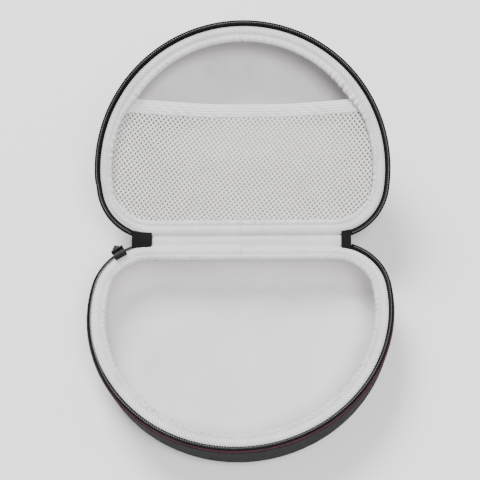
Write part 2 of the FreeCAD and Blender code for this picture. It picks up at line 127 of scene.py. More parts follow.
def outline(distance, inset):
    """Points of the rim outline, moved inwards by inset, from the back's middle to the left."""
    distance, inset = np.broadcast_arrays(np.mod(distance, OUTLINE_LENGTH), inset)
    point = np.zeros(distance.shape + (2,))
    lengths = np.array([CORNER_X, CORNER_LENGTH, FRONT_LENGTH, CORNER_LENGTH, CORNER_X])
    stops = np.cumsum(lengths)
    starts = stops - lengths
    for index, (start, stop) in enumerate(zip(starts, stops)):
        here = (distance >= start) & (distance <= stop)
        along = distance[here] - start
        depth = inset[here]
        if index in (0, 4):
            x = -along if index == 0 else CORNER_X - along
            point[here] = np.stack([x, HINGE_DISTANCE - depth], -1)
            continue
        radius = FRONT_RADIUS if index == 2 else CORNER_RADIUS
        first = (None, math.pi / 2, math.pi - TANGENT_ANGLE, TANGENT_ANGLE + 2 * math.pi)[index]
        centre = ((0, 0), (-CORNER_X, CORNER_Y), (0, 0), (CORNER_X, CORNER_Y))[index]
        angle = first + along / radius
        out = np.stack([np.cos(angle), np.sin(angle)], -1)
        point[here] = np.array(centre) + out * (radius - depth)[:, None]
    return point


def distance_at_x(x):
    """Distance along the outline to the back stretch's point at x, measured to the left."""
    if abs(x) <= CORNER_X:
        return -x
    beyond = CORNER_RADIUS * math.asin((abs(x) - CORNER_X) / CORNER_RADIUS)
    return (CORNER_X + beyond) * (1 if x < 0 else -1)


def new_object(name, points, faces, uvs=None, smooth=True):
    """Mesh object from arrays; uvs hold one pair per point and are in metres."""
    mesh = bpy.data.meshes.new(name)
    mesh.from_pydata([tuple(p) for p in points], [], [tuple(f) for f in faces])
    mesh.validate()
    if uvs is not None:
        layer = mesh.uv_layers.new(name="UVMap")
        corner_points = np.empty(len(mesh.loops), dtype=np.int32)
        mesh.loops.foreach_get("vertex_index", corner_points)
        layer.data.foreach_set("uv", np.asarray(uvs, dtype=np.float32)[corner_points].ravel())
    if smooth:
        mesh.polygons.foreach_set("use_smooth", [True] * len(mesh.polygons))
    obj = bpy.data.objects.new(name, mesh)
    bpy.context.scene.collection.objects.link(obj)
    return obj


def grid_faces(rows, columns, wrap_rows=False, wrap_columns=False, first=0):
    """Quads of a grid whose points are numbered row by row."""
    faces = []
    for row in range(rows if wrap_rows else rows - 1):
        for column in range(columns if wrap_columns else columns - 1):
            next_row = (row + 1) % rows
            next_column = (column + 1) % columns
            faces.append((first + row * columns + column, first + row * columns + next_column,
                          first + next_row * columns + next_column, first + next_row * columns + column))
    return faces


def ring_points(distances, insets, heights):
    """Points of a section carried round the outline: a grid of stations by section points."""
    plan = outline(distances[:, None], insets)
    return np.concatenate([plan, heights[..., None]], -1)


def ring_object(name, half, distances, insets, heights, closed_ring=True, closed_section=False):
    """Mesh of a section carried round the outline of one half."""
    insets, heights = np.broadcast_arrays(insets, heights)
    insets = np.broadcast_to(insets, (len(distances), insets.shape[-1]))
    heights = np.broadcast_to(heights, insets.shape)
    points = ring_points(distances, insets, heights)
    steps = np.hypot(np.diff(insets, axis=1), np.diff(heights, axis=1))
    across = np.concatenate([np.zeros((len(distances), 1)), np.cumsum(steps, 1)], 1)
    uvs = np.stack([np.broadcast_to(distances[:, None], across.shape), across], -1)
    rows, columns = insets.shape
    faces = grid_faces(rows, columns, closed_ring, closed_section)
    flat = points.reshape(-1, 3)
    if closed_section and not closed_ring:
        faces.append(tuple(range(columns)))
        faces.append(tuple(reversed(range((rows - 1) * columns, rows * columns))))
    obj = new_object(name, flat, faces, uvs.reshape(-1, 2))
    obj.data.transform(half_matrix(half))
    return obj


def tube_faces_and_points(path, radius, sides):
    """Round tube along a path, with its frames carried without twist."""
    path = np.asarray(path)
    tangents = np.gradient(path, axis=0)
    tangents /= np.linalg.norm(tangents, axis=1, keepdims=True)
    normal = np.cross(tangents[0], (0.3, 0.2, 0.9))
    points = []
    angles = np.linspace(0, 2 * math.pi, sides, endpoint=False)
    for centre, tangent in zip(path, tangents):
        normal = normal - tangent * np.dot(normal, tangent)
        normal /= np.linalg.norm(normal)
        side = np.cross(tangent, normal)
        points.append(centre + radius * (np.outer(np.cos(angles), normal)
                                         + np.outer(np.sin(angles), side)))
    faces = grid_faces(len(path), sides, wrap_columns=True)
    faces.append(tuple(reversed(range(sides))))
    faces.append(tuple(range((len(path) - 1) * sides, len(path) * sides)))
    return np.concatenate(points), faces


def joined(parts):
    """Joins several (points, faces) pairs into one."""
    points = []
    faces = []
    first = 0
    for some_points, some_faces in parts:
        points.append(some_points)
        faces.extend(tuple(index + first for index in face) for face in some_faces)
        first += len(some_points)
    return np.concatenate(points), faces


def subdivide(obj, levels):
    """Smooths a mesh with subdivision."""
    modifier = obj.modifiers.new("smooth", "SUBSURF")
    modifier.levels = levels
    modifier.render_levels = levels


def thicken(obj, thickness, offset):
    """Gives a surface its cloth thickness, to one side or (with offset 0) to both."""
    modifier = obj.modifiers.new("thickness", "SOLIDIFY")
    modifier.thickness = thickness
    modifier.offset = offset


def smooth_step(value, low, high):
    """0 below low, 1 above high and a smooth rise between them."""
    share = np.clip((value - low) / (high - low), 0, 1)
    return share * share * (3 - 2 * share)


def uneven(values, seed, waves, low, high):
    """Smooth irregular signal of about unit size, the same at each run: a sum of sine waves."""
    random = np.random.default_rng(seed)
    total = np.zeros_like(values)
    for _ in range(waves):
        frequency = random.uniform(low, high)
        total = total + np.sin(values * frequency + random.uniform(0, 2 * math.pi))
    return total / math.sqrt(waves)


def zipper_ends(trim=0.0):
    """Distances along the outline of the zipper's left and right ends."""
    left = distance_at_x(-ZIPPER_END)
    right = OUTLINE_LENGTH + distance_at_x(ZIPPER_END)
    return left + trim, right - trim


def zipper_distances(step):
    """Stations from the zipper's left end, round the front, to its right end."""
    first, last = zipper_ends()
    return np.linspace(first, last, int((last - first) / step) + 1)


# ---------------------------------------------------------------- materials
TWILL_PITCH = 2.6 * MM


class Shader:
    """One material and short calls that add nodes to it."""

    def __init__(self, name, color, roughness, **inputs):
        self.material = bpy.data.materials.new(name)
        self.material.use_nodes = True
        self.nodes = self.material.node_tree.nodes
        self.links = self.material.node_tree.links
        self.surface = self.nodes["Principled BSDF"]
        self.surface.inputs["Base Color"].default_value = (*color, 1)
        self.surface.inputs["Roughness"].default_value = roughness
        for key, value in inputs.items():
            self.surface.inputs[key.replace("_", " ")].default_value = value
        self.coordinates = self.nodes.new("ShaderNodeTexCoord")

    def set(self, socket, value):
        """Links a node's output to a socket, or sets the socket's own value."""
        if isinstance(value, bpy.types.NodeSocket):
            self.links.new(value, socket)
        else:
            socket.default_value = value

    def math(self, operation, first, second=0.0):
        """Result of one operation on one or two values."""
        node = self.nodes.new("ShaderNodeMath")
        node.operation = operation
        self.set(node.inputs[0], first)
        self.set(node.inputs[1], second)
        return node.outputs[0]

    def uv(self):
        """The two surface coordinates, in metres of cloth."""
        split = self.nodes.new("ShaderNodeSeparateXYZ")
        self.links.new(self.coordinates.outputs["UV"], split.inputs[0])
        return split.outputs[0], split.outputs[1]

    def noise(self, scale, detail):
        """Cloudy value between 0 and 1, with this many clouds per metre."""
        node = self.nodes.new("ShaderNodeTexNoise")
        node.inputs["Scale"].default_value = scale
        node.inputs["Detail"].default_value = detail
        self.links.new(self.coordinates.outputs["Object"], node.inputs["Vector"])
        return node.outputs["Fac"]

    def wave(self, coordinate, pitch):
        """Sine of a coordinate, one period to each pitch."""
        return self.math("SINE", self.math("MULTIPLY", coordinate, 2 * math.pi / pitch))

    def mix(self, factor, first, second):
        """Colour between two colours."""
        node = self.nodes.new("ShaderNodeMix")
        node.data_type = "RGBA"
        self.set(node.inputs["Factor"], factor)
        self.set(node.inputs["A"], (*first, 1) if isinstance(first, tuple) else first)
        self.set(node.inputs["B"], (*second, 1) if isinstance(second, tuple) else second)
        return node.outputs["Result"]

    def ramp(self, value, low, high):
        """0 at low, 1 at high and a straight rise between them."""
        node = self.nodes.new("ShaderNodeMapRange")
        self.set(node.inputs["Value"], value)
        node.inputs["From Min"].default_value = low
        node.inputs["From Max"].default_value = high
        return node.outputs["Result"]

    def color(self, socket):
        """Takes the surface's colour from a node."""
        self.links.new(socket, self.surface.inputs["Base Color"])

    def bump(self, height, distance):
        """Adds relief of this depth to any relief that the surface has."""
        node = self.nodes.new("ShaderNodeBump")
        node.inputs["Strength"].default_value = 1.0
        node.inputs["Distance"].default_value = distance
        self.links.new(height, node.inputs["Height"])
        previous = self.surface.inputs["Normal"].links
        if previous:
            self.links.new(previous[0].from_socket, node.inputs["Normal"])
        self.links.new(node.outputs["Normal"], self.surface.inputs["Normal"])


def woven_material(name, dark, light, pitch, roughness, relief, sheen, gloss=0.3, twill=0.0):
    """Woven cloth: warp and weft, diagonal twill lines, uneven colour and a slightly fuzzy surface."""
    shader = Shader(name, light, roughness, Sheen_Weight=sheen, Sheen_Roughness=0.5,
                    Specular_IOR_Level=gloss)
    along, across = shader.uv()
    weave = shader.math("MULTIPLY", shader.wave(along, pitch), shader.wave(across, pitch))
    lines = shader.wave(shader.math("ADD", along, across), TWILL_PITCH)
    blotches = shader.ramp(shader.noise(60, 4), 0.25, 0.75)
    fuzz = shader.noise(2500, 2)
    threads = shader.math("ADD", shader.math("MULTIPLY", weave, 0.16),
                          shader.math("MULTIPLY", lines, twill))
    unevenness = shader.math("ADD", shader.math("MULTIPLY", blotches, 0.4),
                             shader.math("MULTIPLY", fuzz, 0.3))
    mixed = shader.math("ADD", threads, unevenness)
    shader.color(shader.mix(shader.ramp(mixed, 0.05, 0.65), dark, light))
    if twill:
        shader.bump(lines, twill * 0.2 * MM)
    shader.bump(weave, relief)
    shader.bump(fuzz, 0.05 * MM)
    return shader.material


def brushed_material(name, dark, light):
    """Brushed knit: faint wales, soft nap and cloudy colour."""
    shader = Shader(name, light, 0.95, Sheen_Weight=0.35, Sheen_Roughness=0.45)
    along, across = shader.uv()
    wales = shader.wave(along, 0.9 * MM)
    clouds = shader.noise(22, 4)
    nap = shader.noise(1400, 3)
    tone = shader.math("ADD", shader.ramp(clouds, 0.3, 0.7), shader.math("MULTIPLY", nap, 0.25))
    shader.color(shader.mix(shader.ramp(tone, 0.0, 1.25), dark, light))
    shader.bump(wales, 0.03 * MM)
    shader.bump(nap, 0.09 * MM)
    return shader.material


def plastic_material(name, color, roughness, grain, relief, gloss=0.5):
    """Moulded plastic or lacquered metal with a fine uneven surface."""
    shader = Shader(name, color, roughness, Specular_IOR_Level=gloss)
    fine = shader.noise(grain, 3)
    lighter = tuple(min(1.0, channel * 1.8 + 0.004) for channel in color)
    shader.color(shader.mix(shader.ramp(shader.noise(grain / 12, 3), 0.4, 0.8), color, lighter))
    shader.bump(fine, relief)
    return shader.material


MATERIALS = {
    "cover": woven_material("cover_woven", (0.004, 0.004, 0.0045), (0.014, 0.013, 0.015),
                            0.7 * MM, 0.85, 0.12 * MM, 0.02, 0.2),
    "lining": brushed_material("lining_brushed", (0.60, 0.575, 0.58), (0.71, 0.685, 0.69)),
    "binding": woven_material("binding_woven", (0.54, 0.525, 0.533), (0.82, 0.80, 0.81),
                              0.6 * MM, 0.85, 0.05 * MM, 0.3, 0.3, 0.35),
    "hinge_cloth": woven_material("hinge_woven", (0.56, 0.55, 0.555), (0.70, 0.685, 0.69),
                                  0.6 * MM, 0.85, 0.05 * MM, 0.2, 0.3, 0.2),
    "black_cloth": woven_material("black_woven", (0.0025, 0.0025, 0.003), (0.007, 0.007, 0.008),
                                  0.5 * MM, 0.85, 0.05 * MM, 0.0, 0.15),
    "tape": woven_material("tape_woven", (0.002, 0.002, 0.002), (0.005, 0.005, 0.0055),
                           0.8 * MM, 0.85, 0.08 * MM, 0.0, 0.15),
    "piping": woven_material("piping_corded", (0.045, 0.009, 0.016), (0.11, 0.02, 0.036),
                             0.9 * MM, 0.7, 0.1 * MM, 0.05, 0.3),
    "coil": plastic_material("coil_nylon", (0.003, 0.003, 0.003), 0.28, 900, 0.01 * MM),
    # the coil's sewing thread, lighter grey than the coil: painted highlights for the glints on the
    # coil's turns
    "thread_painted_glint": woven_material("thread_painted_glint", (0.12, 0.12, 0.12), (0.26, 0.26, 0.26),
                                  0.3 * MM, 0.7, 0.03 * MM, 0.05, 0.3),
    "thread_light": woven_material("thread_light", (0.66, 0.64, 0.64), (0.82, 0.80, 0.80),
                                   0.3 * MM, 0.7, 0.03 * MM, 0.2),
    "mesh": woven_material("net_knit", (0.66, 0.65, 0.62), (0.82, 0.81, 0.78),
                           0.45 * MM, 0.85, 0.06 * MM, 0.2),
    "elastic": woven_material("elastic_knit", (0.70, 0.69, 0.70), (0.84, 0.83, 0.835),
                              0.55 * MM, 0.85, 0.06 * MM, 0.3),
    "slider_metal": plastic_material("slider_lacquer", (0.003, 0.003, 0.0035), 0.5, 700,
                                     0.01 * MM, 0.15),
    "grip": plastic_material("grip_rubber", (0.004, 0.004, 0.0045), 0.6, 500, 0.03 * MM),
    "foam": plastic_material("foam_grey", (0.10, 0.10, 0.10), 0.9, 300, 0.2 * MM),
}


def finish_piece(obj, material, body=None, replaced=()):
    """Gives a piece its material and its body, and hides the CAD nodes that it stands for."""
    obj.data.materials.clear()
    obj.data.materials.append(MATERIALS[material])
    if body:
        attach(obj, body)
    if replaced:
        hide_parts(*replaced)


# ---------------------------------------------------------------- moulded bowls
def bowl_section(inset, top, round_steps):
    """Section of a bowl surface this far inside the cover: down the wall and onto the floor."""
    depth = BOWL_DEPTH - inset
    radius = BOTTOM_RADIUS - inset
    lean = math.atan(DRAFT)
    # the wall ends where the bottom's rounding starts
    centre_height = -depth + radius
    centre_inset = inset - centre_height * DRAFT + radius / math.cos(lean)
    wall_end_height = centre_height + radius * math.sin(lean)
    heights = np.linspace(top, wall_end_height, 16)
    insets = inset - heights * DRAFT
    angles = np.linspace(lean, math.pi / 2, round_steps)[1:]
    round_insets = centre_inset - radius * np.cos(angles)
    round_heights = centre_height - radius * np.sin(angles)
    floor_insets = np.linspace(round_insets[-1], FLOOR_INSET, 4)[1:]
    return (np.concatenate([insets, round_insets, floor_insets]),
            np.concatenate([heights, round_heights, np.full(len(floor_insets), -depth)]))


def bowl_surface(name, half, inset, top, stations, rim_insets=(), rim_heights=(), round_steps=14):
    """Bowl skin: rings of a section, closed on the floor towards the middle."""
    distances = np.linspace(0, OUTLINE_LENGTH, stations, endpoint=False)
    insets, heights = bowl_section(inset, top, round_steps)
    insets = np.concatenate([rim_insets, insets])
    heights = np.concatenate([rim_heights, heights])
    grid_insets = np.broadcast_to(insets, (stations, len(insets)))
    points = ring_points(distances, grid_insets, np.broadcast_to(heights, grid_insets.shape))
    middle = np.array([0, BOWL_MIDDLE_Y, heights[-1]])
    last = points[:, -1]
    rings = [points]
    for share in np.linspace(0, 1, 12)[1:-1]:
        rings.append((last + (middle - last) * share)[:, None, :])
    points = np.concatenate(rings, axis=1)
    # uvs: the threads run straight over the flat bottom and carry on up the walls
    steps = np.linalg.norm(np.diff(points, axis=1), axis=2)
    up_to_rim = np.cumsum(steps[:, ::-1], 1)[:, ::-1]
    from_middle = np.concatenate([up_to_rim, np.zeros((stations, 1))], 1)
    from_middle += np.linalg.norm(points[:, -1] - middle, axis=1)[:, None]
    heading = points[..., :2] - middle[:2]
    heading /= np.linalg.norm(heading, axis=-1, keepdims=True)
    uvs = middle[:2] + heading * from_middle[..., None]
    rows, columns = points.shape[:2]
    faces = grid_faces(rows, columns, wrap_rows=True)
    flat = np.concatenate([points.reshape(-1, 3), middle[None]])
    centre = len(flat) - 1
    for row in range(rows):
        faces.append((row * columns + columns - 1, centre, ((row + 1) % rows) * columns + columns - 1))
    flat_uvs = np.concatenate([uvs.reshape(-1, 2), middle[None, :2]])
    obj = new_object(name, flat, faces, flat_uvs)
    obj.data.transform(half_matrix(half))
    return obj


def make_cover(half):
    """Outer skin with a turned-in edge, backed by the foam that it hides."""
    lip_insets = np.array([3.0, 1.0, 0.35, 0.08]) * MM
    lip_heights = np.array([0.0, 0.0, -0.05, -0.25]) * MM
    cover = bowl_surface(half + "_cover_skin", half, 0.0, -0.6 * MM, 420, lip_insets, lip_heights, 30)
    thicken(cover, 0.6 * MM, -1)
    finish_piece(cover, "cover", half, [half + "_cover"])


def simulate_slack(obj, pinned, slack, frames=16):
    """Lets a cloth buckle: it is cut a little too large and is held where it is glued or sewn."""
    scene = bpy.context.scene
    group = obj.vertex_groups.new(name="held")
    group.add(pinned, 1.0, "REPLACE")
    cloth = obj.modifiers.new("cloth", "CLOTH")
    cloth.settings.vertex_group_mass = "held"
    cloth.settings.quality = 6
    cloth.settings.mass = 0.1
    cloth.settings.tension_stiffness = 15
    cloth.settings.compression_stiffness = 15
    cloth.settings.shear_stiffness = 8
    cloth.settings.bending_stiffness = 0.4
    cloth.settings.shrink_min = -slack
    cloth.settings.effector_weights.gravity = 0
    cloth.point_cache.frame_start = 1
    cloth.point_cache.frame_end = frames
    for number in range(1, frames + 1):
        scene.frame_set(number)
    evaluated = obj.evaluated_get(bpy.context.evaluated_depsgraph_get())
    settled = np.array([vertex.co for vertex in evaluated.data.vertices])
    obj.modifiers.remove(cloth)
    obj.vertex_groups.remove(group)
    scene.frame_set(1)
    return settled


def inward_normals(mesh, half):
    """Point normals that face the open side of a half."""
    start = np.array([vertex.co for vertex in mesh.vertices])
    normals = np.array([vertex.normal for vertex in mesh.vertices])
    middle = np.array(half_matrix(half) @ Vector((0, 0, 0)))
    return normals * np.sign(np.sum(normals * (middle - start), 1))[:, None]


def dent_lining(mesh, half, rings, fade_rings):
    """Slight dents, also the seeds from which the simulated creases grow."""
    fade = np.clip((np.arange(len(mesh.vertices)) % rings) / fade_rings, 0, 1)
    inward = inward_normals(mesh, half)
    points = np.array([vertex.co for vertex in mesh.vertices])
    lift = [noise.noise(Vector(point) / (24 * MM)) + 0.4 * noise.noise(Vector(point) / (11 * MM))
            for point in points]
    lift = (np.array(lift) * 0.5 + 0.5) * 0.8 * MM * fade
    mesh.vertices.foreach_set("co", (points + inward * lift[:, None]).ravel())
    mesh.update()


def settle_lining(obj, half, rings, held_rings):
    """Lets the lining's walls crease, held at the rim and on the floor, against the foam."""
    mesh = obj.data
    start = np.array([vertex.co for vertex in mesh.vertices])
    inward = inward_normals(mesh, half)
    ring = np.arange(len(start)) % rings
    pinned = [int(i) for i in np.where((ring < 2) | (ring >= held_rings))[0]] + [len(start) - 1]
    settled = simulate_slack(obj, pinned, LINING_SLACK)
    rise = np.clip(np.sum((settled - start) * inward, 1), -LINING_SINK, LINING_RISE)
    mesh.vertices.foreach_set("co", (start + inward * rise[:, None]).ravel())
    mesh.update()


def make_lining(half):
    """Light lining of the cavity, from behind the binding down over the floor."""
    stations = 240
    lining = bowl_surface(half + "_lining_cloth", half, WALL, -0.5 * MM, stations)
    rings = (len(lining.data.vertices) - 1) // stations
    dent_lining(lining.data, half, rings, fade_rings=6)
    settle_lining(lining, half, rings, held_rings=32)
    thicken(lining, 0.5 * MM, 1)
    finish_piece(lining, "lining", half, [half + "_lining"])


# ---------------------------------------------------------------- rim
def zipper_tuck(half, distances):
    """How far the base's half chain is turned down, under its binding: only along the left."""
    if half == "lid":
        return 0 * distances
    return 1 - smooth_step(distances, 165 * MM, 215 * MM)


def slider_run(half, distances):
    """1 where the slider runs, round the rear-left corner of the case."""
    from_back = distances if half == "base" else OUTLINE_LENGTH - distances
    return smooth_step(from_back, 79 * MM, 84 * MM) * (1 - smooth_step(from_back, 124 * MM, 132 * MM))


def zipper_lean(half, distances):
    """How far the tape and the coil lean outwards at their top, less inside the slider."""
    free = 1 - zipper_tuck(half, distances)
    return ZIPPER_LEAN[half] * free * (1 - SLIDER_UPRIGHT * slider_run(half, distances))


def inner_edge_shift(half, distances):
    """The roll stands wider over the lid's open part and is held back beside the net."""
    if half == "base":
        return 0 * distances
    plan = outline(distances, 12 * MM)
    reach = HINGE_DISTANCE - plan[:, 1]
    beside_net = smooth_step(reach, 18 * MM, 34 * MM) * (1 - smooth_step(reach, 84 * MM, 104 * MM))
    above = smooth_step(reach, 84 * MM, 104 * MM)
    return (0.5 - 1.5 * beside_net + 0.9 * above) * MM


def hinge_share(distances):
    """1 along the cloth hinge at the back, 0 elsewhere."""
    from_middle = np.minimum(distances, OUTLINE_LENGTH - distances)
    return 1 - smooth_step(from_middle, 60 * MM, 70 * MM)


def make_rim_binding(half, seed):
    """Padded edging: a smooth outer band, a sewn groove and a gathered inner roll."""
    stations = 1500
    distances = np.linspace(0, OUTLINE_LENGTH, stations, endpoint=False)
    angle = distances / OUTLINE_LENGTH * 2 * math.pi
    gathers = uneven(angle, seed, 9, 70, 150)
    slow = 0.5 + 0.5 * np.tanh(uneven(angle, seed + 1, 5, 3, 9))
    pucker = (gathers * (0.35 + 0.65 * slow))[:, None]
    section = np.array([
        # inset and height in millimetres, share of the gathers, share of the tuck
        (2.0, -0.40, 0.0, 0.0), (3.7, 0.35, 0.0, 1.0), (4.3, 1.25, 0.05, 0.9),
        (5.6, 1.85, 0.10, 0.5), (7.0, 1.95, 0.15, 0.2), (8.3, 1.55, 0.15, 0.0),
        (9.1, 0.70, 0.10, 0.0), (9.5, 0.00, 0.05, 0.0), (9.9, 0.55, 0.35, 0.0),
        (10.6, 1.40, 0.7, 0.0), (11.6, 1.45, 1.0, 0.0), (12.6, 0.65, 1.0, 0.0),
        (13.2, -0.50, 0.9, 0.0), (13.1, -1.70, 0.7, 0.0), (12.5, -2.70, 0.5, 0.0),
        (11.2, -3.30, 0.3, 0.0), (9.0, -3.45, 0.1, 0.0), (7.0, -3.45, 0.0, 0.0),
    ])
    if half == "lid":
        section[6:9, 1] += (0.25, 0.45, 0.1)
        section[9:12, 1] -= 0.35
        section[:, 2] *= 0.6
    inset, height, gathered, tucked = section.T
    roll = smooth_step(inset, 9.3, 11.0)
    tuck = zipper_tuck(half, distances)[:, None]
    shift = inner_edge_shift(half, distances)[:, None]
    overhang = hinge_share(distances)[:, None] * (inset < 5) * (inset > 3)
    insets = (inset * MM + pucker * gathered * 0.55 * MM - TUCK_SHIFT * tuck * tucked
              - 0.5 * MM * overhang + shift * roll)
    heights = height * MM + pucker * gathered * 0.75 * MM + TUCK_RISE * tuck * tucked
    # the slider's inner plate presses the padding flat
    under_plate = smooth_step(insets, 3.5 * MM, 4.2 * MM) * (1 - smooth_step(insets, 6.2 * MM, 7.4 * MM))
    pressed = slider_run(half, distances)[:, None] * under_plate
    heights -= pressed * np.clip(heights - PRESSED_HEIGHT, 0, None)
    binding = ring_object(half + "_edge_binding", half, distances, insets, heights)
    subdivide(binding, 1)
    finish_piece(binding, "binding", half, [half + "_rim_binding"])


def make_binding_stitches(half):
    """Row of stitches along the groove of the binding."""
    parts = []
    count = int(OUTLINE_LENGTH / BINDING_STITCH)
    bow = np.array([-0.38, -0.28, 0, 0.28, 0.38]) * BINDING_STITCH
    lift = np.array([0.15, 0.55, 0.72, 0.55, 0.15]) * MM
    for index in range(count):
        distance = (index + 0.5) * OUTLINE_LENGTH / count + bow
        plan = outline(distance, BINDING_SEAM)
        path = np.concatenate([plan, lift[:, None]], 1)
        parts.append(tube_faces_and_points(path, 0.17 * MM, 6))
    stitches = new_object(half + "_binding_stitches", *joined(parts))
    stitches.data.transform(half_matrix(half))
    finish_piece(stitches, "thread_light", half)


def make_piping(half):
    """Dark red cord sewn in just outside the zipper."""
    distances = zipper_distances(1.2 * MM)
    radius = 0.55 * MM
    angles = np.linspace(0, 2 * math.pi, 12, endpoint=False)
    twist = distances[:, None] / (1.6 * MM) * 2 * math.pi
    ribs = 1 + 0.05 * np.sin(3 * angles[None, :] + twist)
    tuck = zipper_tuck(half, distances)[:, None]
    insets = (0.9 + 0.5 * tuck) * MM - radius * ribs * np.cos(angles)
    heights = 0.5 * MM + radius * ribs * np.sin(angles)
    piping = ring_object(half + "_piping_cord", half, distances, insets, heights, False, True)
    finish_piece(piping, "piping", half, [half + "_piping"])


def make_zipper_tape(half):
    """Woven tape: it stands up out of the rim and turns in under the binding."""
    distances = zipper_distances(2.5 * MM)
    inset, height = np.array([(1.15, -0.4), (1.15, 1.5), (1.2, 2.6), (1.35, 3.3), (1.7, 3.35),
                              (1.8, 2.6), (2.0, 1.75), (3.0, 1.45), (3.9, 1.25), (4.5, 0.7),
                              (4.4, 0.4), (2.2, 0.3), (1.7, -0.4)]).T * MM
    tuck = zipper_tuck(half, distances)[:, None]
    share = np.clip(height / COIL_TOP, 0, 1)
    lean = zipper_lean(half, distances)[:, None]
    tape = ring_object(half + "_tape_cloth", half, distances, inset - lean * share,
                       height - TUCK_DROP * tuck * share, False, True)
    finish_piece(tape, "tape", half, [half + "_zipper_tape"])


def make_zipper_coil(half):
    """Half chain: one nylon filament wound in close turns along the tape's edge."""
    wire = 0.36 * MM
    steps_per_turn = 12
    first, last = zipper_ends(COIL_END_TRIM)
    turns = int((last - first) / COIL_PITCH)
    phase = np.linspace(0, turns * 2 * math.pi, turns * steps_per_turn + 1)
    distances = first + phase / (2 * math.pi) * COIL_PITCH
    reach = COIL_SIZE / 2 - wire
    insets = COIL_INSET - 0.15 * MM + reach * np.cos(phase)
    heights = COIL_TOP - COIL_SIZE / 2 + reach * np.sin(phase)
    tuck = zipper_tuck(half, distances)
    plan = outline(distances, insets - zipper_lean(half, distances))
    heights = heights - TUCK_DROP * tuck
    path = np.concatenate([plan, heights[:, None]], 1)
    coil = new_object(half + "_coil_filament", *tube_faces_and_points(path, wire, 7))
    coil.data.transform(half_matrix(half))
    finish_piece(coil, "coil", half, [half + "_zipper_coil"])


def make_coil_thread_glints(half):
    """Sewing thread that holds the coil on its tape, one short stitch over each turn; the stitches are
    lighter grey than the black coil, as painted highlights for the glints on the coil's turns.
    """
    first, last = zipper_ends(COIL_END_TRIM)
    count = int((last - first) / COIL_PITCH)
    bow = np.array([-0.24, -0.14, 0.0, 0.14, 0.24]) * COIL_PITCH
    parts = []
    for index in range(count):
        distance = first + (index + 0.25) * COIL_PITCH + bow
        tuck = zipper_tuck(half, distance)
        inset = COIL_INSET - 0.1 * MM - zipper_lean(half, distance)
        height = COIL_TOP - 0.3 * MM + np.array([-0.1, 0.12, 0.2, 0.12, -0.1]) * MM
        height = height - TUCK_DROP * tuck
        plan = outline(distance, inset)
        path = np.concatenate([plan, height[:, None]], 1)
        parts.append(tube_faces_and_points(path, 0.25 * MM, 5))
    thread = new_object(half + "_coil_thread", *joined(parts))
    thread.data.transform(half_matrix(half))
    # the light grey stitches on the black coil are painted glints
    finish_piece(thread, "thread_painted_glint", half)


# ---------------------------------------------------------------- hinge cloth and tabs
def half_point(half, x, y, z):
    """A point given in one half's own frame, with x in the case's frame."""
    return half_matrix(half) @ Vector((x * side_sign(half), y, z))


def hinge_path(feet, bulge, rows):
    """Cross-section (y, z) of a cloth over the hinge, and the length along it at each point.

    The feet are (y, z) points in a half's own frame, from the sewn edge towards the gap.
    """
    base = [half_point("base", 0, *foot) for foot in feet]
    lid = [half_point("lid", 0, *foot) for foot in reversed(feet)]
    span = (lid[0] - base[-1]).normalized()
    up = Vector((1, 0, 0)).cross(span)
    crown = (base[-1] + lid[0]) / 2 + up * bulge
    path = np.array([point[1:] for point in base + [crown] + lid])
    for _ in range(3):
        # each round cuts the corners off
        near = path[:-1] * 0.75 + path[1:] * 0.25
        far = path[:-1] * 0.25 + path[1:] * 0.75
        path = np.concatenate([path[:1], np.stack([near, far], 1).reshape(-1, 2), path[-1:]])
    lengths = np.concatenate([[0], np.cumsum(np.linalg.norm(np.diff(path, axis=0), axis=1))])
    stops = np.linspace(0, lengths[-1], rows)
    even = np.stack([np.interp(stops, lengths, path[:, 0]), np.interp(stops, lengths, path[:, 1])], -1)
    return even, stops


def hinge_sheet(name, left, right, feet, bulge, ripple, thickness, seed, columns=90, rows=21):
    """Cloth from one half's rim to the other's, with slight folds along the hinge."""
    path, stops = hinge_path(feet, bulge, rows)
    tangent = np.gradient(path, axis=0)
    tangent /= np.linalg.norm(tangent, axis=1, keepdims=True)
    normal = np.stack([-tangent[:, 1], tangent[:, 0]], -1)
    along = np.linspace(left, right, columns)
    across = np.linspace(0, 1, rows)
    waves = uneven(along * 42, seed, 5, 1, 4)[:, None]
    folds = np.sin(across * math.pi * 3 + waves * 0.5) * 0.6 + 0.4 * np.sin(across * math.pi * 5 - waves)
    lift = ripple * folds * np.sin(across * math.pi) ** 2
    points = np.zeros((columns, rows, 3))
    points[..., 0] = along[:, None]
    points[..., 1:] = path[None] + lift[..., None] * normal[None]
    uvs = np.stack([np.broadcast_to(along[:, None], (columns, rows)),
                    np.broadcast_to(stops[None, :], (columns, rows))], -1)
    sheet = new_object(name, points.reshape(-1, 3), grid_faces(columns, rows), uvs.reshape(-1, 2))
    thicken(sheet, thickness, 0)
    return sheet


def blend_over_hinge(obj):
    """Bakes the cloth's placement into its points; the cloth is not attached to either half."""
    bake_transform(obj)


def make_inner_hinge_cloth():
    """Light cloth over the inside of the hinge, between the two end tabs."""
    feet = [(HINGE_DISTANCE - 6.5 * MM, 0.1 * MM), (HINGE_DISTANCE - 3.0 * MM, -0.9 * MM)]
    cloth = hinge_sheet("inner_hinge_fold", -64.2 * MM, 70.8 * MM, feet, 1.9 * MM, 0.3 * MM,
                        0.5 * MM, 5)
    finish_piece(cloth, "hinge_cloth", None, ["base_inner_hinge_cloth", "lid_inner_hinge_cloth"])
    blend_over_hinge(cloth)


def make_outer_hinge_cloth():
    """Black cloth outside the hinge, between the two ends of the zipper."""
    feet = [(HINGE_DISTANCE - 1.4 * MM, -3.0 * MM), (HINGE_DISTANCE - 1.3 * MM, -0.2 * MM)]
    cloth = hinge_sheet("outer_hinge_fold", -74 * MM, 75 * MM, feet, -0.8 * MM, 0.15 * MM,
                        0.6 * MM, 6)
    finish_piece(cloth, "black_cloth", None, ["base_outer_hinge_cloth", "lid_outer_hinge_cloth"])
    blend_over_hinge(cloth)


